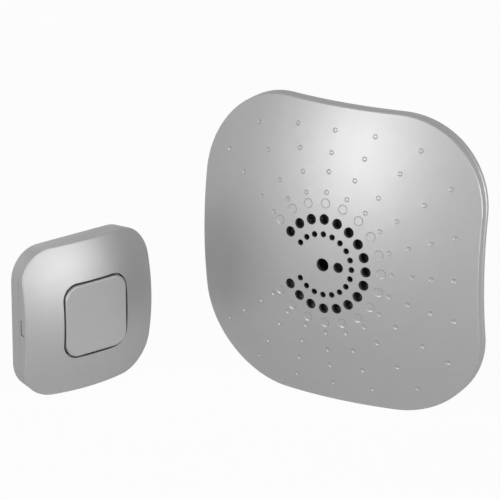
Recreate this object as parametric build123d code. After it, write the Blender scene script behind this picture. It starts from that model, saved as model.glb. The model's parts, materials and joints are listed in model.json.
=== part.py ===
from build123d import *
import os
from math import cos, radians, sin, sqrt

os.makedirs("parts", exist_ok=True)

# Wireless doorbell set in millimetres: a wall chime and the bell push that stands beside it.
# Each unit is modelled with its wall plane at Z 0 and its front towards +Z.
# place_chime and place_push turn it upright, so that the chime's front faces -Y and +Z is up.

# Chime case
chime_size = 140.0
chime_corner = 42.0
chime_depth = 34.0
dome_radius = 172.0
rim_depth = 3.9
rim_round = 0.6
rim_back_round = 0.4
cover_wall = 2.2
lip_inset = 0.1
lip_depth = 2.2
lip_edge = 0.8
lip_width = 5.5
back_inset = 14.0
back_corner = 20.0
tray_wall = 2.0
tongue_wall = 1.5

# Grille holes and dimples of the chime, on rays that leave the left side open
ray_count = 17
ray_step = 18.0
centre_hole_d = 6.1
second_hole_d = 4.8
second_hole_x = 7.8
inner_ring_r = 14.3
inner_hole_d = 2.8
outer_ring_r = 21.1
outer_hole_d = 4.8
large_dimple_r = 28.3
large_dimple_d = 4.6
large_dimple_depth = 0.3
small_dimple_d = 2.3
small_dimple_depth = 0.35
dimple_wall = 0.5
round_rows = (33.2, 42.3)
square_rows = ((50.5, 3.12), (60.1, 3.81))

# Speaker
speaker_flange_r = 25.5
speaker_flange_t = 1.2
speaker_seat = 1.0
seat_lip = 2.0
seat_wall = 1.5
hook_count = 4
hook_width = 6.0
hook_reach = 0.9
hook_depth = 1.6
hook_slit = 1.0
speaker_depth = 20.0
magnet_r = 14.0
magnet_t = 6.0
yoke_t = 1.5
basket_slope = 3.5
basket_wall = 0.8
basket_windows = 6
basket_window_w = 7.0
basket_window_edge = 1.5
cone_wall = 0.5
cone_rise = 3.0
coil_r = 8.0
coil_gap = 1.0
terminal_width = 10.0
terminal_t = 1.2
lead_d = 1.0
lead_pitch = 4.0
lead_arch = 8.0
lead_inset = 6.0

# Cells and their compartment in the chime's lower part
cell_d = 14.5
cell_length = 50.5
cell_nub_d = 5.5
cell_nub_length = 1.0
cell_round = 0.6
cell_play = 0.4
spring_room = 6.0
contact_t = 0.4
contact_width = 9.0
tab_width = 3.0
tab_reach = 2.0
compartment_wall = 1.5
compartment_edge = 0.5
compartment_roof = 1.2
ledge_t = 1.6
ledge_width = 3.0
door_t = 1.6
door_inset = 0.2
door_lap = 1.6
door_top_lap = 3.0
grip_width = 16.0
grip_pitch = 3.0
grip_depth = 0.5

# Wall hanging and case screws
keyhole_spacing = 70.0
keyhole_y = 6.0
keyhole_entry_d = 9.0
keyhole_slot_w = 4.6
keyhole_rise = 7.0
case_screw_inset = 13.0
case_boss_d = 10.0
case_boss_height = 7.0
case_post_d = 7.0
screw_seat_t = 2.4
screw_head_d = 5.6
screw_head_t = 2.2
screw_slot_w = 0.8
screw_shank_d = 2.9
screw_tip_gap = 1.9
board_screw_length = 7.0

# Circuit board and controls of the chime
board_width = 72.0
board_height = 25.0
board_corner = 3.0
board_inset = 3.7
board_z = 8.0
board_t = 1.6
board_post_d = 6.0
board_screw_inset = 5.0
chip_width = 10.0
chip_height = 8.0
chip_t = 2.0
capacitor_d = 8.0
capacitor_length = 11.5
receiver_width = 18.0
receiver_height = 11.0
receiver_t = 1.2
receiver_can = 6.0
receiver_can_t = 2.2
antenna_d = 1.2
volume_x = -16.0
volume_travel = 2.0
volume_body_width = 12.0
volume_body_t = 3.5
knob_size = 3.0
lever_size = 1.6
lever_length = 1.5
melody_x = 16.0
melody_travel = 0.6
melody_cap_d = 6.0
melody_flange = 1.2
melody_round = 0.5
melody_stem_d = 2.6
melody_stem_length = 1.0
switch_size = 6.0
switch_t = 3.0
control_inset = 0.6

# Bell push
push_back_size = 68.8
push_back_corner = 14.7
push_front_size = 72.0
push_depth = 19.2
push_dome_r = 102.0
push_wall = 2.0
push_floor = 1.6
push_parting = 6.6
push_parting_gap = 0.1
push_edge_round = 0.7
push_tongue_t = 1.2
push_tongue_height = 3.0
push_tongue_foot = 2.0
seal_inset = 0.8
seal_sink = 0.25
pad_opening = 36.0
pad_opening_corner = 7.8
pad_gap = 0.9
pad_proud = 0.6
pad_round = 0.8
pad_travel = 0.8
pad_height = 4.2
pad_flange_t = 1.2
pad_wall = 1.6
pad_stem_d = 7.0
collar_width = 2.2
collar_overlap = 0.4
window_height = 7.2
window_low = 8.1
window_width = 2.8
window_sink = 0.2
push_screw_spacing = 52.0
push_screw_d = 4.0
push_board_size = 40.0
push_board_corner = 4.0
push_post_at = 16.0
push_post_d = 5.0
push_peg_d = 1.8
push_peg_rise = 0.8
push_switch_t = 3.4
plunger_d = 3.0
plunger_sink = 0.6
coin_cell_d = 20.0
coin_cell_t = 3.2
coin_cell_round = 0.4
clip_width = 6.0
clip_t = 0.4
sender_width = 7.0
sender_height = 5.0
sender_t = 1.6
sender_x = 9.5
sender_y = 6.5
crystal_d = 5.0
crystal_t = 2.6
crystal_x = -10.0
crystal_y = 7.0

# Where the push stands beside the chime, from the middle of the chime's back
push_x = -117.5
push_y = -57.0
push_turn = 69.5

# Clearances
fit_gap = 0.3
slide_gap = 0.4
hole_gap = 0.1
over = 1.0


def prism(half_width, corner, low, high):
    outline = RectangleRounded(2 * half_width, 2 * half_width, corner)
    return Pos(0, 0, low) * extrude(outline, high - low)


def flared(half_low, corner_low, half_high, corner_high, low, high):
    bottom = Pos(0, 0, low) * RectangleRounded(2 * half_low, 2 * half_low, corner_low)
    top = Pos(0, 0, high) * RectangleRounded(2 * half_high, 2 * half_high, corner_high)
    return loft([bottom, top], ruled=True)


def ball(radius, height):
    return Pos(0, 0, height) * Rot(90, 0, 0) * Sphere(radius)


def block(x_low, x_high, y_low, y_high, z_low, z_high):
    centre = Pos((x_low + x_high) / 2, (y_low + y_high) / 2, (z_low + z_high) / 2)
    return centre * Box(x_high - x_low, y_high - y_low, z_high - z_low)


def chunk(x, y, width, height, low, high):
    return Pos(x, y, (low + high) / 2) * Box(width, height, high - low)


def post(x, y, diameter, low, high):
    return Pos(x, y, (low + high) / 2) * Cylinder(diameter / 2, high - low)


def turned(points):
    face = make_face(Polyline(*points, close=True))
    return revolve(Plane.XZ * face, Axis.Z)


def screw(x, y, head_low, length, turn):
    head = post(0, 0, screw_head_d, 0, screw_head_t)
    shank = post(0, 0, screw_shank_d, screw_head_t, screw_head_t + length)
    slot = chunk(0, 0, screw_head_d + over, screw_slot_w, -over, screw_head_t / 3)
    return Pos(x, y, head_low) * Rot(turn, 0, 0) * (head + shank - slot)


def dome_edge(shape, radius, centre):
    middle = Vector(0, 0, centre)
    return shape.edges().filter_by(lambda e: abs((e @ 0.5 - middle).length - radius) < 0.01)


def place_chime(shape):
    return Rot(90, 0, 0) * shape


def place_push(shape):
    drop = (push_front_size - chime_size) / 2
    return Pos(push_x, push_y, drop) * Rot(0, 0, push_turn) * Rot(90, 0, 0) * shape


def save(shape, name):
    export_step(shape, "parts/" + name + ".step")


# Levels of the chime that follow from its sizes
half = chime_size / 2
dome_centre = chime_depth - dome_radius
inner_radius = dome_radius - cover_wall
rim_back = dome_centre - rim_depth
rim_back_mid = rim_back + sqrt(dome_radius ** 2 - half ** 2)
lip_half = half - lip_inset
back_half = half - back_inset
flare = (lip_half - back_half) / rim_back_mid
tray_side = tray_wall * sqrt(1 + flare ** 2)
corner_shift = chime_corner - half
back_shift = back_corner - back_half
case_screw_at = back_half - case_screw_inset
corners = [(x, y) for x in (-case_screw_at, case_screw_at) for y in (-case_screw_at, case_screw_at)]
post_level = dome_centre + sqrt(inner_radius ** 2 - 2 * case_screw_at ** 2)
head_room = case_boss_height - screw_seat_t
screw_length = post_level - screw_tip_gap - head_room
ring_level = dome_centre + sqrt(inner_radius ** 2 - speaker_flange_r ** 2)
seat = ring_level - speaker_seat


def ray_points(radius_at):
    middle = (ray_count - 1) / 2
    angles = [radians((k - middle) * ray_step) for k in range(ray_count)]
    return [(radius_at(a) * cos(a), radius_at(a) * sin(a)) for a in angles]


def square_radius(reach, power):
    return lambda a: reach / (abs(cos(a)) ** power + abs(sin(a)) ** power) ** (1 / power)


def grille_hole(x, y, diameter):
    return post(x, y, diameter, seat, chime_depth + over)


def dimple(x, y, diameter, depth):
    lift = sqrt(dome_radius ** 2 - x ** 2 - y ** 2)
    spot = Plane((x, y, dome_centre + lift), z_dir=(x, y, lift))
    cone = Cone(diameter / 2 - dimple_wall, diameter / 2 + dimple_wall, 2 * depth)
    return spot * cone


# Chime front cover: a dome trimmed by a rounded square, so its rim runs back at the corners
cover = prism(half, chime_corner, 0, chime_depth + over) & ball(dome_radius, dome_centre)
cover -= ball(dome_radius, rim_back)
cover = fillet(dome_edge(cover, dome_radius, dome_centre), rim_round)
cover = fillet(dome_edge(cover, dome_radius, rim_back), rim_back_round)
skirt_half = half - cover_wall
hollow = prism(skirt_half, skirt_half + corner_shift, 0, chime_depth) & ball(inner_radius, dome_centre)
cover -= hollow

# Ring that seats the speaker and posts for the case screws, inside the cover
trim = ball(dome_radius - cover_wall / 2, dome_centre)
pocket_r = speaker_flange_r + fit_gap
ring_r = pocket_r + seat_wall
ring_hole_r = outer_ring_r + outer_hole_d / 2 + slide_gap
ring = post(0, 0, 2 * ring_r, seat - seat_lip, chime_depth)
ring -= post(0, 0, 2 * ring_hole_r, 0, chime_depth)
ring -= post(0, 0, 2 * pocket_r, 0, seat)
hook_top = seat - speaker_flange_t - hole_gap
hook_in = pocket_r - hook_reach
hook_low = hook_top - hook_depth
hook_edge = hook_width / 2
tooth = make_face(Polyline((hook_in, hook_top), (pocket_r, hook_low), (ring_r, hook_low), (ring_r, seat),
                           (pocket_r, seat), (pocket_r, hook_top), close=True))
hook = extrude(Plane.XZ * tooth, hook_edge, both=True) & post(0, 0, 2 * ring_r, 0, seat)
slits = block(hook_in, ring_r + over, -hook_edge - hook_slit, hook_edge + hook_slit, 0, seat)
slits -= block(hook_in, ring_r + over, -hook_edge, hook_edge, 0, seat)
for k in range(hook_count):
    turn = Rot(0, 0, (k + 0.5) * 360 / hook_count)
    ring -= turn * slits
    ring += turn * hook
cover += ring & trim
for x, y in corners:
    stem = post(x, y, case_post_d, case_boss_height, chime_depth) & trim
    bore_top = head_room + screw_length + fit_gap
    cover += stem - post(x, y, screw_shank_d + hole_gap, 0, bore_top)

# Speaker grille and the rows of dimples around it
holes = [grille_hole(0, 0, centre_hole_d), grille_hole(second_hole_x, 0, second_hole_d)]
holes += [grille_hole(x, y, inner_hole_d) for x, y in ray_points(lambda a: inner_ring_r)]
holes += [grille_hole(x, y, outer_hole_d) for x, y in ray_points(lambda a: outer_ring_r)]
cover -= holes
large_points = ray_points(lambda a: large_dimple_r)
dimples = [dimple(x, y, large_dimple_d, large_dimple_depth) for x, y in large_points]
for row in round_rows:
    points = ray_points(lambda a: row)
    dimples += [dimple(x, y, small_dimple_d, small_dimple_depth) for x, y in points]
for reach, power in square_rows:
    points = ray_points(square_radius(reach, power))
    dimples += [dimple(x, y, small_dimple_d, small_dimple_depth) for x, y in points]
cover -= dimples
save(place_chime(cover), "chime_front_cover")

# Chime rear housing: a flared tray with a lip and a tongue that follow the wavy rim
tray_outer = flared(back_half, back_corner, lip_half, lip_half + back_shift, 0, rim_back_mid)
rim_body = prism(lip_half, lip_half + corner_shift, 0, chime_depth) & ball(dome_radius, rim_back)
rim_body = chamfer(dome_edge(rim_body, dome_radius, rim_back), lip_edge)
tray = tray_outer & rim_body
low_half = back_half + flare * tray_wall - tray_side
high = rim_back_mid + over
high_half = back_half + flare * high - tray_side
tray -= flared(low_half, low_half + back_shift, high_half, high_half + back_shift, tray_wall, high)
lip_in = lip_half - lip_width
lip = rim_body - prism(lip_in, lip_in + corner_shift, 0, chime_depth)
lip -= ball(dome_radius, rim_back - lip_depth)
tongue_half = skirt_half - fit_gap
tongue_in = tongue_half - tongue_wall
tongue_height = rim_depth - cover_wall - 2 * fit_gap
tongue = prism(tongue_half, tongue_half + corner_shift, 0, chime_depth)
tongue -= prism(tongue_in, tongue_in + corner_shift, 0, chime_depth)
tongue &= ball(dome_radius, rim_back + tongue_height)
tongue -= ball(dome_radius, rim_back - lip_depth / 2)
tray += lip
tray += tongue

# Battery compartment, open at the wall side, with a ledge that the door slides under
door_top = door_inset + door_t
ledge_low = door_top + fit_gap
room_x = (cell_length + spring_room) / 2
room_low = compartment_edge - back_half
lower_cell_y = room_low + fit_gap + cell_d / 2
upper_cell_y = lower_cell_y + cell_d + cell_play
room_high = upper_cell_y + cell_d / 2 + fit_gap
cell_z = ledge_low + cell_d / 2
room_top = cell_z + cell_d / 2 + fit_gap
door_half = room_x + door_lap
door_wide = door_half + door_t
door_high = room_high + door_top_lap
foot_x = door_wide + ledge_width
foot_y = door_high + ledge_width
box_x = room_x + compartment_wall
box_low = room_low - compartment_wall
box_high = room_high + compartment_wall
case = block(-box_x, box_x, box_low, box_high, ledge_low, room_top + compartment_roof)
case += block(-foot_x, foot_x, room_low, foot_y, ledge_low, ledge_low + ledge_t)
tray += case & ball(inner_radius - fit_gap, dome_centre)
tray -= block(-room_x, room_x, room_low, room_high, 0, room_top)
tab_gap = tab_width + 2 * hole_gap
for y in (lower_cell_y, upper_cell_y):
    tray -= chunk(box_x, y, 2 * compartment_wall + over, tab_gap, cell_z - contact_t, cell_z + contact_t)


def door_slice(gap, low, high):
    narrow = door_half + gap
    wide = door_wide + gap
    points = [(-narrow, low), (narrow, low), (narrow, door_inset), (wide, door_top), (wide, high)]
    points += [(-wide, high), (-wide, door_top), (-narrow, door_inset)]
    return make_face(Polyline(*points, close=True))


channel = extrude(Plane.XZ * door_slice(fit_gap, -over, ledge_low), chime_size, both=True)
tray -= channel & block(-half, half, -half, door_high + fit_gap, -over, ledge_low)

# Screw bosses, keyholes, board posts and control openings in the tray floor
floor_top = tray_wall + over
for x, y in corners:
    tray += post(x, y, case_boss_d, 0, case_boss_height)
    tray -= post(x, y, screw_head_d + 2 * slide_gap, -over, head_room)
    tray -= post(x, y, screw_shank_d + slide_gap, 0, case_boss_height + over)
slot_y = keyhole_y + keyhole_rise
for x in (-keyhole_spacing / 2, keyhole_spacing / 2):
    tray -= post(x, keyhole_y, keyhole_entry_d, -over, floor_top)
    tray -= post(x, slot_y, keyhole_slot_w, -over, floor_top)
    tray -= chunk(x, (keyhole_y + slot_y) / 2, keyhole_slot_w, keyhole_rise, -over, floor_top)
board_y = back_half - board_inset - board_height / 2
board_screw_x = board_width / 2 - board_screw_inset
board_top = board_z + board_t
board_low = board_y - board_height / 2
board_high = board_y + board_height / 2
slot_width = knob_size + 2 * (volume_travel + slide_gap)
tray -= chunk(volume_x, board_y, slot_width, knob_size + 2 * slide_gap, -over, floor_top)
tray -= post(melody_x, board_y, melody_cap_d + 2 * slide_gap, -over, floor_top)
pilot_low = board_top - board_screw_length
for x in (-board_screw_x, board_screw_x):
    tray += post(x, board_y, board_post_d, 0, board_z)
    tray -= post(x, board_y, screw_shank_d + hole_gap, pilot_low, board_z + over)
save(place_chime(tray), "chime_rear_housing")

# Battery door, a plate with dovetail sides, flush with the flared bottom and with a ribbed grip
door = extrude(Plane.XZ * door_slice(0, door_inset - hole_gap, door_top + hole_gap), chime_size, both=True)
door &= block(-half, half, -half, door_high, door_inset, door_top)
door &= tray_outer
for step in range(3):
    rib_y = room_low + 2 * grip_pitch + step * grip_pitch
    door -= chunk(0, rib_y, grip_width, grip_pitch / 2, 0, door_inset + grip_depth)
save(place_chime(door), "battery_door")


# Cells, lying across the chime with their nubs at opposite ends
def cell(y, sign):
    body_length = cell_length - cell_nub_length
    body = fillet(post(0, 0, cell_d, 0, body_length).edges(), cell_round)
    whole = body + post(0, 0, cell_nub_d, body_length - cell_round, cell_length)
    nub_x = room_x - contact_t - hole_gap
    return Pos(sign * nub_x, y, cell_z) * Rot(0, 90 * sign, 0) * Pos(0, 0, -cell_length) * whole


save(place_chime(cell(upper_cell_y, 1)), "upper_cell")
save(place_chime(cell(lower_cell_y, -1)), "lower_cell")


def flat_contact(y, sign):
    return Pos(sign * (room_x - contact_t / 2), y, cell_z) * Box(contact_t, contact_width, contact_width)


def leaf_contact(y, sign):
    reach = spring_room - contact_t - 2 * hole_gap
    width = contact_width / 2
    bend = make_face(Polyline((0, -width), (reach, 0), (0, width), close=True))
    bend -= make_face(Polyline((-2 * contact_t, -width), (reach - 2 * contact_t, 0), (-2 * contact_t, width),
                               close=True))
    strip = extrude(bend, contact_width / 4, both=True)
    strip += Pos(contact_t / 2, 0, 0) * Box(contact_t, contact_width, contact_width)
    turn = Rot(0, 90 + 90 * sign, 0)
    return Pos(sign * room_x, y, cell_z) * turn * strip


# At one end a strap joins the two cells, at the other end tabs come out for the leads
tab_end = box_x + tab_reach
tab_half = tab_width / 2
strap_in = contact_t - room_x
strap_low = lower_cell_y + contact_width / 2
strap_high = upper_cell_y - contact_width / 2
strap = block(-room_x, strap_in, strap_low, strap_high, cell_z - tab_half, cell_z + tab_half)


def solder_tab(y):
    return block(room_x - contact_t, tab_end, y - tab_half, y + tab_half, cell_z - contact_t / 2,
                 cell_z + contact_t / 2)


flats = flat_contact(upper_cell_y, 1) + solder_tab(upper_cell_y) + flat_contact(lower_cell_y, -1) + strap
leaves = leaf_contact(upper_cell_y, -1) + leaf_contact(lower_cell_y, 1) + solder_tab(lower_cell_y)
save(place_chime(flats), "cell_plates")
save(place_chime(leaves), "cell_springs")

# Speaker behind the grille: pressed basket, ring magnet, yoke and paper cone
flange_low = seat - speaker_flange_t
magnet_top = seat - speaker_depth + yoke_t + magnet_t
magnet_low = magnet_top - magnet_t
rim_r = speaker_flange_r - basket_slope
step_z = seat - speaker_flange_t / 2
step_r = (rim_r + speaker_flange_r) / 2
neck_r = magnet_r - 2 * coil_gap
basket = turned([
    (coil_r, magnet_top), (neck_r, magnet_top), (rim_r, flange_low), (speaker_flange_r, flange_low),
    (speaker_flange_r, seat), (step_r, seat), (step_r, step_z), (rim_r - basket_wall, step_z),
    (rim_r - basket_wall, flange_low), (neck_r - basket_wall, magnet_top + basket_wall),
    (coil_r, magnet_top + basket_wall)])
window_low_r = neck_r + basket_window_edge
window_high_r = rim_r - basket_wall - basket_window_edge
half_window = basket_window_w / 2
basket_window = block(window_low_r, window_high_r, -half_window, half_window, magnet_low, seat)
for k in range(basket_windows):
    basket -= Rot(0, 0, (k + 0.5) * 360 / basket_windows) * basket_window
save(place_chime(basket), "speaker_basket")
magnet = post(0, 0, 2 * magnet_r, magnet_low, magnet_top) - post(0, 0, 2 * coil_r, 0, chime_depth)
save(place_chime(magnet), "speaker_magnet")
yoke = post(0, 0, 2 * (magnet_r - coil_gap), magnet_low - yoke_t, magnet_low)
yoke += post(0, 0, 2 * (coil_r - coil_gap), magnet_low - yoke_t, magnet_top)
save(place_chime(yoke), "speaker_yoke")
cap_r = coil_r - coil_gap
cap_z = magnet_top + cone_rise
edge_r = step_r - fit_gap
roll_r = rim_r - 2 * basket_wall
roll_z = step_z - 2 * cone_wall
cone_r = roll_r - cone_rise
cone = turned([
    (0, cap_z + cone_rise), (cap_r, cap_z), (cone_r, step_z), (roll_r, roll_z + cone_wall),
    (rim_r - basket_wall, step_z + cone_wall), (edge_r, step_z + cone_wall), (edge_r, step_z),
    (rim_r - basket_wall, step_z), (roll_r, roll_z), (cone_r, step_z - cone_wall),
    (cap_r, cap_z - cone_wall), (0, cap_z + cone_rise - cone_wall)])
save(place_chime(cone), "speaker_cone")
terminal_in = rim_r + fit_gap
terminal_low = seat - speaker_flange_t - terminal_t
terminal = block(-terminal_width / 2, terminal_width / 2, terminal_in, rim_r + basket_slope - fit_gap,
                 terminal_low, seat - speaker_flange_t)
terminal &= post(0, 0, 2 * (speaker_flange_r - fit_gap), 0, seat)
save(place_chime(terminal), "speaker_terminal")


def lead(start, rise, x):
    end = Vector(x, board_low + lead_inset, board_top)
    path = Bezier(start, start + Vector(0, 0, rise), end + Vector(0, 0, lead_arch), end)
    section = Plane(origin=start, z_dir=(0, 0, rise)) * Circle(lead_d / 2)
    return sweep(section, path=path, is_frenet=rise > 0)


# Leads from the speaker and from the cells, soldered to the front of the board
terminal_y = (terminal_in + speaker_flange_r) / 2
speaker_leads = []
for x in (-lead_pitch / 2, lead_pitch / 2):
    speaker_leads.append(lead(Vector(x, terminal_y, terminal_low), -lead_arch, x))
save(place_chime(Part() + speaker_leads), "speaker_leads")
cell_leads = []
for k, y in enumerate((lower_cell_y, upper_cell_y)):
    tab_top = Vector(tab_end - tab_reach / 2, y, cell_z + contact_t / 2)
    cell_leads.append(lead(tab_top, lead_arch, board_screw_x - k * lead_pitch))
save(place_chime(Part() + cell_leads), "cell_leads")

# Circuit board of the chime and what it carries
board_outline = RectangleRounded(board_width, board_height, board_corner)
board = Pos(0, board_y, board_z) * extrude(board_outline, board_t)
for x in (-board_screw_x, board_screw_x):
    board -= post(x, board_y, screw_shank_d + slide_gap, 0, board_top + over)
save(place_chime(board), "chime_board")
save(place_chime(chunk(0, board_y, chip_width, chip_height, board_top, board_top + chip_t)), "melody_chip")
capacitor_y = board_high - capacitor_d / 2 - over
capacitor = Rot(0, 90, 0) * Cylinder(capacitor_d / 2, capacitor_length)
capacitor = Pos(volume_x, capacitor_y, board_top + capacitor_d / 2) * fillet(capacitor.edges(), cell_round)
save(place_chime(capacitor), "chime_capacitor")
receiver_y = board_high - receiver_height / 2 - over
receiver_top = board_top + receiver_t
receiver = chunk(melody_x, receiver_y, receiver_width, receiver_height, board_top, receiver_top)
can_top = receiver_top + receiver_can_t
receiver += chunk(melody_x, receiver_y, receiver_can, receiver_can, receiver_top, can_top)
save(place_chime(receiver), "receiver_module")
antenna_length = 2 * (board_screw_x - board_post_d)
antenna = Rot(0, 90, 0) * Cylinder(antenna_d / 2, antenna_length)
antenna = Pos(0, board_low + 2 * antenna_d, board_top + antenna_d / 2) * antenna
save(place_chime(antenna), "antenna_wire")
board_screw_z = board_top + screw_head_t
shank = board_screw_length - fit_gap
board_screws = [screw(x, board_y, board_screw_z, shank, 180) for x in (-board_screw_x, board_screw_x)]
save(place_chime(Part() + board_screws), "board_screws")
case_screws = [screw(x, y, head_room - screw_head_t, screw_length, 0) for x, y in corners]
save(place_chime(Part() + case_screws), "case_screws")

# Volume slider, reached through the back
volume_low = board_z - volume_body_t
lever_slot = lever_size + 2 * slide_gap
volume_body = chunk(volume_x, board_y, volume_body_width, volume_body_width / 2, volume_low, board_z)
volume_body -= chunk(volume_x, board_y, lever_slot + 2 * volume_travel, lever_slot, volume_low - over,
                     volume_low + lever_length + slide_gap)
save(place_chime(volume_body), "volume_switch")
knob = chunk(volume_x, board_y, knob_size, knob_size, control_inset, volume_low - slide_gap)
knob += chunk(volume_x, board_y, lever_size, lever_size, tray_wall, volume_low + lever_length)
save(place_chime(knob), "volume_knob")

# Melody button, reached through the back, on a small press switch
switch_low = board_z - switch_t
melody_body = chunk(melody_x, board_y, switch_size, switch_size, switch_low, board_z)
bore_z = switch_low + melody_stem_length + melody_travel + slide_gap
melody_body -= post(melody_x, board_y, melody_stem_d + 2 * slide_gap, switch_low - over, bore_z)
save(place_chime(melody_body), "melody_switch")
flange_low = tray_wall + fit_gap
flange_top = switch_low - melody_travel - slide_gap
button = post(melody_x, board_y, melody_cap_d, control_inset, flange_top)
button = fillet(button.edges().sort_by(Axis.Z)[0], melody_round)
button += post(melody_x, board_y, melody_cap_d + 2 * melody_flange, flange_low, flange_top)
button += post(melody_x, board_y, melody_stem_d, flange_low, switch_low + melody_stem_length)
save(place_chime(button), "melody_button")

# Levels of the bell push that follow from its sizes
push_half = push_back_size / 2
push_front = push_front_size / 2
push_centre = push_depth - push_dome_r
push_edge_mid = push_centre + sqrt(push_dome_r ** 2 - push_front ** 2)
push_flare = (push_front - push_half) / push_edge_mid
push_shift = push_back_corner - push_half
opening_half = pad_opening / 2
pad_top = push_centre + sqrt(push_dome_r ** 2 - opening_half ** 2) + pad_proud
collar_z = pad_top - pad_height
push_board_z = push_floor + clip_t + coin_cell_t + 2 * fit_gap
push_board_top = push_board_z + board_t
push_switch_top = push_board_top + push_switch_t
push_posts = [(x, y) for x in (-push_post_at, push_post_at) for y in (-push_post_at, push_post_at)]


def push_body(inset, low, high):
    bottom = push_half + push_flare * low - inset
    top = push_half + push_flare * high - inset
    return flared(bottom, bottom + push_shift, top, top + push_shift, low, high)


def push_slab(low, high):
    return chunk(0, 0, chime_size, chime_size, low, high)


# Bell push front cover: the front of a flared body under a dome, with a collar round the pad
shell = push_body(0, 0, push_depth + over) & ball(push_dome_r, push_centre)
shell = fillet(dome_edge(shell, push_dome_r, push_centre), push_edge_round)
push_cover = shell & push_slab(push_parting + push_parting_gap, push_depth + over)
push_cover -= push_body(push_wall, 0, push_depth + over) & ball(push_dome_r - push_wall, push_centre)
collar = prism(opening_half + collar_width, pad_opening_corner + collar_width, collar_z, push_depth)
push_cover += collar & ball(push_dome_r - push_wall / 2, push_centre)
push_cover -= prism(opening_half, pad_opening_corner, 0, push_depth + over)
window_high = window_low + window_width
window_half = window_height / 2
window_in = push_wall + over - push_half
push_cover -= block(-push_front_size, window_in, -window_half, window_half, window_low, window_high)
save(place_push(push_cover), "push_front_cover")

# Push pad with a flange that keeps it under the collar, and the switch plunger under its stem
flange_z = collar_z - fit_gap
pad_half = opening_half - pad_gap
pad_corner = pad_opening_corner - pad_gap
flange_half = opening_half + collar_width - collar_overlap
pad = prism(pad_half, pad_corner, flange_z - pad_flange_t, pad_top)
pad = fillet(pad.faces().sort_by(Axis.Z)[-1].edges(), pad_round)
pad += prism(flange_half, pad_opening_corner, flange_z - pad_flange_t, flange_z)
pad -= prism(pad_half - pad_wall, pad_corner - pad_wall, 0, pad_top - pad_wall)
stem_low = push_switch_top + pad_travel + fit_gap
pad += post(0, 0, pad_stem_d, stem_low, pad_top - pad_wall / 2)
save(place_push(pad), "push_pad")
plunger_low = push_switch_top - plunger_sink
save(place_push(post(0, 0, plunger_d, plunger_low, stem_low)), "push_switch_plunger")

# Push back plate: a shallow tray with screw holes, board posts and a tongue inside the cover
plate = shell & push_slab(0, push_parting)
plate -= push_body(push_wall, push_floor, push_depth)
tongue_inset = push_wall + fit_gap
tongue_low = push_parting - push_tongue_foot
push_tongue = push_body(tongue_inset, tongue_low, push_parting + push_tongue_height)
push_tongue += push_body(push_wall / 2, tongue_low, push_parting - fit_gap)
push_tongue -= push_body(tongue_inset + push_tongue_t, 0, push_depth)
seal_groove = push_body(seal_inset - hole_gap, push_parting - seal_sink, push_parting + over)
seal_groove -= push_body(tongue_inset, 0, push_depth)
hook_half = window_half - fit_gap
hook_space = block(-push_front_size, window_in, -hook_half, hook_half, tongue_low, window_high - fit_gap)
snap_arm = push_body(tongue_inset, 0, push_depth) & hook_space
tooth_space = hook_space & push_slab(window_low + fit_gap, window_high)
snap_arm += push_body(window_sink, 0, push_depth) & tooth_space
snap_arm -= push_body(tongue_inset + push_tongue_t, 0, push_depth)
plate += push_tongue & ball(push_dome_r - push_wall - fit_gap, push_centre)
plate -= seal_groove
plate += snap_arm
for y in (-push_screw_spacing / 2, push_screw_spacing / 2):
    plate -= post(0, y, push_screw_d, -over, push_floor + over)
for x, y in push_posts:
    plate += post(x, y, push_post_d, 0, push_board_z)
    plate += post(x, y, push_peg_d, 0, push_board_top + push_peg_rise)
save(place_push(plate), "push_back_plate")

# Seal in the parting line of the push
seal = push_body(seal_inset, push_parting - seal_sink, push_parting + push_parting_gap)
seal -= push_body(push_wall - hole_gap, 0, push_depth)
save(place_push(seal), "push_seal")

# Board, switch, cell and transmitter of the push
push_board = extrude(RectangleRounded(push_board_size, push_board_size, push_board_corner), board_t)
push_board = Pos(0, 0, push_board_z) * push_board
for x, y in push_posts:
    push_board -= post(x, y, push_peg_d + slide_gap, 0, push_depth)
save(place_push(push_board), "push_board")
push_switch = chunk(0, 0, switch_size, switch_size, push_board_top, push_switch_top)
push_switch -= post(0, 0, plunger_d + 2 * slide_gap, plunger_low - pad_travel - fit_gap, push_depth)
save(place_push(push_switch), "push_switch")
coin_high = push_board_z - fit_gap
coin_low = coin_high - coin_cell_t
coin = fillet(post(0, 0, coin_cell_d, coin_low, coin_high).edges(), coin_cell_round)
save(place_push(coin), "coin_cell")
clip_in = coin_cell_d + 2 * slide_gap
clip = chunk(0, 0, clip_in + 2 * clip_t, clip_width, coin_low - clip_t, push_board_z)
clip -= chunk(0, 0, clip_in, clip_width + over, coin_low, push_board_z + over)
save(place_push(clip), "coin_cell_clip")
sender = chunk(sender_x, sender_y, sender_width, sender_height, push_board_top, push_board_top + sender_t)
save(place_push(sender), "transmitter_chip")
crystal = post(crystal_x, crystal_y, crystal_d, push_board_top, push_board_top + crystal_t)
crystal = fillet(crystal.edges().sort_by(Axis.Z)[-1], coin_cell_round)
save(place_push(crystal), "crystal_can")
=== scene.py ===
import bpy
import json
from math import cos, radians, sin
from mathutils import Matrix, Vector


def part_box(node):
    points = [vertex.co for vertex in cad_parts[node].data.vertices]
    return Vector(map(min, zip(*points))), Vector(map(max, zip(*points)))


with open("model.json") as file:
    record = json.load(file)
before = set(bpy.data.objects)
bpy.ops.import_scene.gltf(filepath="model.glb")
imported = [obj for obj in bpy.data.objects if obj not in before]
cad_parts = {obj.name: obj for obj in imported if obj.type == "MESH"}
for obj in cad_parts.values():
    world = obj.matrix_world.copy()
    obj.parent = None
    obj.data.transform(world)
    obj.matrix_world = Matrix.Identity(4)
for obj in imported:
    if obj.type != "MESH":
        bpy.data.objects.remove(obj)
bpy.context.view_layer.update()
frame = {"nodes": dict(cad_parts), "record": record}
nodes = frame["nodes"]
scene = bpy.context.scene

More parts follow.
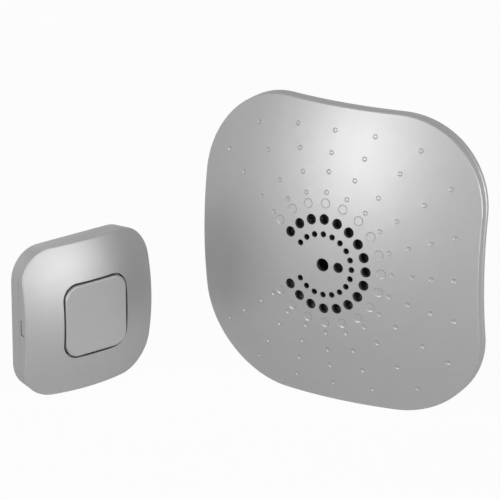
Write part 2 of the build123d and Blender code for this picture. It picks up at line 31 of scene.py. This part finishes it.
# Sizes of the chime's dome and grille in metres, as in the solids
APEX = Vector((0.0, -0.034, 0.0))
DOME_R = 0.172
DOME_CENTRE = APEX + Vector((0.0, DOME_R, 0.0))
GRILLE_R = 0.0245

# Satin silver paint: level, share of metal, roughness, gloss, and reflection at a grazing angle
SILVER_LEVEL = 0.38
SILVER_METAL = 0.62
SILVER_ROUGH = 0.48
SILVER_SHEEN = 0.3
SILVER_EDGE = 0.6
SILVER_SPREAD = 0.06
SILVER_LOW = 0.3
SILVER_HIGH = 0.7
FLAKE_SCALE = 2600.0
FLAKE_DETAIL = 2.0
FLAKE_ROUGH = 0.7
FLAKE_SHARE = 0.8
FLAKE_STRENGTH = 0.06
FLAKE_DEPTH = 0.00004
CLOUD_SCALE = 60.0

# Bare moulding in the grille holes starts this far below the dome's surface
PAINT_REACH = 0.00012
BARE_LEVEL = 0.12

# Cells: length with the nub, bare steel at the nub's end and at the flat end, pale ring
CELL_LENGTH = 0.0505
NUB_STEEL = 0.0021
FLAT_STEEL = 0.0009
RING_START = 0.0075
RING_END = 0.0105
CELL_GRAIN = 900.0
CELL_ROUGH = 0.34
STEEL_LEVELS = (0.46, 0.54)
SLEEVE_COLOURS = ((0.014, 0.05, 0.11), (0.017, 0.058, 0.125))

# Stops at which a ramp turns noise into colour, and the relief of plain surfaces
RAMP_LOW = 0.35
RAMP_HIGH = 0.65
PLAIN_STRENGTH = 0.3
PLAIN_DEPTH = 0.00002
CELL_STRENGTH = 0.2
CELL_DEPTH = 0.00001


# Node helpers
def new_material(name):
    material = bpy.data.materials.new(name)
    material.use_nodes = True
    tree = material.node_tree
    return material, tree, tree.nodes["Principled BSDF"]


def add(tree, kind, **values):
    node = tree.nodes.new(kind)
    for key, value in values.items():
        setattr(node, key, value)
    return node


def math_node(tree, operation, a, b):
    node = add(tree, "ShaderNodeMath", operation=operation)
    for socket, value in zip(node.inputs, (a, b)):
        if isinstance(value, (int, float)):
            socket.default_value = value
        else:
            tree.links.new(value, socket)
    return node.outputs[0]


def between(tree, value, low, high):
    """One where the value lies between low and high, and nought elsewhere."""
    above = math_node(tree, "GREATER_THAN", value, low)
    below = math_node(tree, "LESS_THAN", value, high)
    return math_node(tree, "MULTIPLY", above, below)


def object_place(tree):
    return add(tree, "ShaderNodeTexCoord").outputs["Object"]


def split_place(tree, place):
    split = add(tree, "ShaderNodeSeparateXYZ")
    tree.links.new(place, split.inputs[0])
    return split.outputs


def noise(tree, vector, scale, detail=3.0, roughness=0.5):
    node = add(tree, "ShaderNodeTexNoise")
    node.inputs["Scale"].default_value = scale
    node.inputs["Detail"].default_value = detail
    node.inputs["Roughness"].default_value = roughness
    tree.links.new(vector, node.inputs["Vector"])
    return node.outputs["Fac"]


def ramp(tree, fac, low, high, start=RAMP_LOW, end=RAMP_HIGH):
    """Colour from low to high as fac goes from start to end."""
    node = add(tree, "ShaderNodeValToRGB")
    stops = ((start, low), (end, high))
    for element, (position, colour) in zip(node.color_ramp.elements, stops):
        element.position = position
        element.color = (*colour, 1.0)
    tree.links.new(fac, node.inputs["Fac"])
    return node.outputs["Color"]


def mix_colour(tree, mask, colour):
    """A mix node with its mask and first colour linked."""
    mix = add(tree, "ShaderNodeMix", data_type="RGBA")
    tree.links.new(mask, mix.inputs["Factor"])
    tree.links.new(colour, mix.inputs["A"])
    return mix


def bump(tree, shader, height, strength, distance):
    node = add(tree, "ShaderNodeBump")
    node.inputs["Strength"].default_value = strength
    node.inputs["Distance"].default_value = distance
    tree.links.new(height, node.inputs["Height"])
    tree.links.new(node.outputs["Normal"], shader.inputs["Normal"])


def seen_by_eye(tree):
    """One for camera, glossy and transmission rays, and nought for diffuse light on the object."""
    rays = add(tree, "ShaderNodeLightPath").outputs
    mirrored = math_node(tree, "MAXIMUM", rays["Is Glossy Ray"], rays["Is Transmission Ray"])
    return math_node(tree, "MAXIMUM", rays["Is Camera Ray"], mirrored)


def grey(level, warm=0.0):
    return (level * (1 + warm), level, level * (1 - warm))


# Materials
def silver_paint(name):
    """Satin silver paint: fine flake in its colour and its surface."""
    material, tree, shader = new_material(name)
    place = object_place(tree)
    flake = noise(tree, place, FLAKE_SCALE, FLAKE_DETAIL, FLAKE_ROUGH)
    cloud = noise(tree, place, CLOUD_SCALE)
    flake_part = math_node(tree, "MULTIPLY", flake, FLAKE_SHARE)
    cloud_part = math_node(tree, "MULTIPLY", cloud, 1 - FLAKE_SHARE)
    mixed = math_node(tree, "ADD", flake_part, cloud_part)
    low = grey(SILVER_LEVEL * (1 - SILVER_SPREAD))
    high = grey(SILVER_LEVEL * (1 + SILVER_SPREAD))
    colour = ramp(tree, mixed, low, high, SILVER_LOW, SILVER_HIGH)
    tree.links.new(colour, shader.inputs["Base Color"])
    shader.inputs["Metallic"].default_value = SILVER_METAL
    shader.inputs["Roughness"].default_value = SILVER_ROUGH
    shader.inputs["Specular IOR Level"].default_value = SILVER_SHEEN
    shader.inputs["Specular Tint"].default_value = (*grey(SILVER_EDGE), 1.0)
    bump(tree, shader, flake, FLAKE_STRENGTH, FLAKE_DEPTH)
    return material, tree, shader, colour


def cover_material():
    """The painted cover: silver outside, bare dark moulding in the hole walls and behind the grille."""
    material, tree, shader, colour = silver_paint("cover_silver")
    place = object_place(tree)
    from_centre = add(tree, "ShaderNodeVectorMath", operation="DISTANCE")
    tree.links.new(place, from_centre.inputs[0])
    from_centre.inputs[1].default_value = DOME_CENTRE
    axes = split_place(tree, place)
    x_square = math_node(tree, "MULTIPLY", axes["X"], axes["X"])
    z_square = math_node(tree, "MULTIPLY", axes["Z"], axes["Z"])
    squares = math_node(tree, "ADD", x_square, z_square)
    in_grille = math_node(tree, "LESS_THAN", squares, GRILLE_R ** 2)
    below = math_node(tree, "LESS_THAN", from_centre.outputs["Value"], DOME_R - PAINT_REACH)
    in_hole = math_node(tree, "MULTIPLY", in_grille, below)
    mix = mix_colour(tree, in_hole, colour)
    mix.inputs["B"].default_value = (*grey(BARE_LEVEL), 1.0)
    tree.links.new(mix.outputs["Result"], shader.inputs["Base Color"])
    painted = math_node(tree, "SUBTRACT", 1.0, in_hole)
    metal = math_node(tree, "MULTIPLY", painted, SILVER_METAL)
    tree.links.new(metal, shader.inputs["Metallic"])
    return material


def plain(name, colour, metallic, roughness, scale, spread=0.12):
    """A moulded or metal surface with fine variation in colour and relief."""
    material, tree, shader = new_material(name)
    grain = noise(tree, object_place(tree), scale)
    low = tuple(c * (1 - spread) for c in colour)
    high = tuple(c * (1 + spread) for c in colour)
    tree.links.new(ramp(tree, grain, low, high), shader.inputs["Base Color"])
    shader.inputs["Metallic"].default_value = metallic
    shader.inputs["Roughness"].default_value = roughness
    bump(tree, shader, grain, PLAIN_STRENGTH, PLAIN_DEPTH)
    return material


def cell_material(node, nub_right):
    """A battery cell: plain sleeve with a pale ring near its nub, and bare steel at both ends."""
    material, tree, shader = new_material(node + "_sleeve")
    place = object_place(tree)
    x = split_place(tree, place)["X"]
    low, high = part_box(node)
    if nub_right:
        from_nub = math_node(tree, "SUBTRACT", high[0], x)
    else:
        from_nub = math_node(tree, "SUBTRACT", x, low[0])
    sleeve = between(tree, from_nub, NUB_STEEL, CELL_LENGTH - FLAT_STEEL)
    ring = between(tree, from_nub, RING_START, RING_END)
    grain = noise(tree, place, CELL_GRAIN)
    steel = ramp(tree, grain, *(grey(level) for level in STEEL_LEVELS))
    wrap = ramp(tree, grain, *SLEEVE_COLOURS)
    colour = steel
    for mask, paint in ((sleeve, wrap), (ring, steel)):
        mix = mix_colour(tree, mask, colour)
        tree.links.new(paint, mix.inputs["B"])
        colour = mix.outputs["Result"]
    tree.links.new(colour, shader.inputs["Base Color"])
    bare = math_node(tree, "SUBTRACT", 1.0, sleeve)
    tree.links.new(bare, shader.inputs["Metallic"])
    shader.inputs["Roughness"].default_value = CELL_ROUGH
    bump(tree, shader, grain, CELL_STRENGTH, CELL_DEPTH)
    return material


# Finish of each material slot: name, colour, metal, roughness, scale of the grain, its spread
finishes = {
    "silver_paint": silver_paint("satin_silver")[0],
    "pressed_steel": plain("plated_steel", grey(0.5), 1.0, 0.35, 400.0),
    "ferrite": plain("ferrite_grey", grey(0.05), 0.0, 0.7, 900.0),
    "cone_paper": plain("black_paper", grey(0.055), 0.0, 0.85, 1500.0, 0.3),
    "board_laminate": plain("green_laminate", (0.012, 0.08, 0.025), 0.0, 0.4, 700.0),
    "black_moulding": plain("black_plastic", grey(0.02), 0.0, 0.5, 1200.0),
    "capacitor_sleeve": plain("dark_sleeve", (0.015, 0.018, 0.04), 0.0, 0.3, 300.0),
    "module_board": plain("module_laminate", (0.01, 0.05, 0.07), 0.0, 0.4, 700.0),
    "cell_case": plain("cell_steel", grey(0.5), 1.0, 0.3, 900.0, 0.06),
    "contact_metal": plain("nickel_strip", grey(0.6, 0.03), 1.0, 0.28, 500.0),
    "seal_rubber": plain("dark_rubber", grey(0.015), 0.0, 0.8, 1000.0),
    "lead_sleeve": plain("lead_sleeve", grey(0.03), 0.0, 0.6, 800.0),
}
slot_of = {part["node"]: part["material_slot"] for part in frame["record"]["subparts"]}
for name, node in nodes.items():
    node.data.materials.clear()
    node.data.materials.append(finishes[slot_of[name]])
nodes["chime_front_cover"].data.materials[0] = cover_material()
nodes["upper_cell"].data.materials[0] = cell_material("upper_cell", True)
nodes["lower_cell"].data.materials[0] = cell_material("lower_cell", False)

# Camera at the photograph's angle
CAMERA_TURN = radians(30.02)
CAMERA_LIFT = radians(20.15)
CAMERA_DISTANCE = 1.7
FOCAL_PX = 3821.8
IMAGE_PX = 500
SHIFT_RIGHT = -0.03223
SHIFT_UP = 0.00665
right = Vector((cos(CAMERA_TURN), sin(CAMERA_TURN), 0.0))
level_forward = Vector((-sin(CAMERA_TURN), cos(CAMERA_TURN), 0.0))
forward = level_forward * cos(CAMERA_LIFT) - Vector((0.0, 0.0, sin(CAMERA_LIFT)))
up = right.cross(forward)
aim = APEX + right * SHIFT_RIGHT + up * SHIFT_UP
turned = Matrix((right, up, -forward)).transposed().to_4x4()
camera_data = bpy.data.cameras.new("camera")
camera_data.sensor_width = 36.0
camera_data.lens = FOCAL_PX / IMAGE_PX * camera_data.sensor_width
camera_data.clip_start = 0.01
camera_data.clip_end = 50.0
camera = bpy.data.objects.new("camera", camera_data)
camera.matrix_world = Matrix.Translation(aim - forward * CAMERA_DISTANCE) @ turned
scene.collection.objects.link(camera)
scene.camera = camera

# Soft studio lamps: turn from the camera and height in degrees, width, tallness, power
TARGET = Vector((-0.04, -0.03, 0.0))
LAMP_DISTANCE = 1.2
LAMPS = (
    ("left_softbox", -45.0, 18.0, 0.5, 0.85, 9.17),
    ("right_softbox", 51.5, 8.0, 0.86, 0.45, 8.03),
    ("back_softbox", -150.0, 4.0, 0.8, 0.3, 4.0),
    ("top_softbox", 180.0, 65.0, 0.5, 0.5, 1.5),
)
for name, turn, height, width, tallness, power in LAMPS:
    light = bpy.data.lights.new(name, "AREA")
    light.shape = "RECTANGLE"
    light.size = width
    light.size_y = tallness
    light.energy = power
    around = CAMERA_TURN + radians(turn)
    flat = cos(radians(height))
    away = Vector((sin(around) * flat, -cos(around) * flat, sin(radians(height))))
    lamp = bpy.data.objects.new(name, light)
    lamp.location = TARGET + away * LAMP_DISTANCE
    lamp.rotation_mode = "QUATERNION"
    lamp.rotation_quaternion = away.to_track_quat("Z", "Y")
    scene.collection.objects.link(lamp)

# World that the eye sees as white and that adds no diffuse light
world = bpy.data.worlds.new("studio")
world.use_nodes = True
scene.world = world
sky = world.node_tree
background = sky.nodes["Background"]
background.inputs["Color"].default_value = (1.0, 1.0, 1.0, 1.0)
sky.links.new(seen_by_eye(sky), background.inputs["Strength"])

# Pale floor just under the object, nearly as white as the world
FLOOR_Z = -0.0702
FLOOR_REACH = 6.0
FLOOR_LEVEL = 0.8
FLOOR_ROUGH = 0.9
FLOOR_GLOW = 0.96
corners = [(x * FLOOR_REACH, y * FLOOR_REACH, FLOOR_Z) for x, y in ((-1, -1), (1, -1), (1, 1), (-1, 1))]
mesh = bpy.data.meshes.new("floor")
mesh.from_pydata(corners, [], [(0, 1, 2, 3)])
floor = bpy.data.objects.new("floor", mesh)
scene.collection.objects.link(floor)
material, tree, shader = new_material("pale_floor")
shader.inputs["Base Color"].default_value = (*grey(FLOOR_LEVEL), 1.0)
shader.inputs["Roughness"].default_value = FLOOR_ROUGH
glow = add(tree, "ShaderNodeEmission")
blend = add(tree, "ShaderNodeMixShader")
share = math_node(tree, "MULTIPLY", seen_by_eye(tree), FLOOR_GLOW)
tree.links.new(share, blend.inputs["Fac"])
tree.links.new(shader.outputs["BSDF"], blend.inputs[1])
tree.links.new(glow.outputs["Emission"], blend.inputs[2])
tree.links.new(blend.outputs["Shader"], tree.nodes["Material Output"].inputs["Surface"])
floor.data.materials.append(material)

scene.view_settings.view_transform = "Standard"
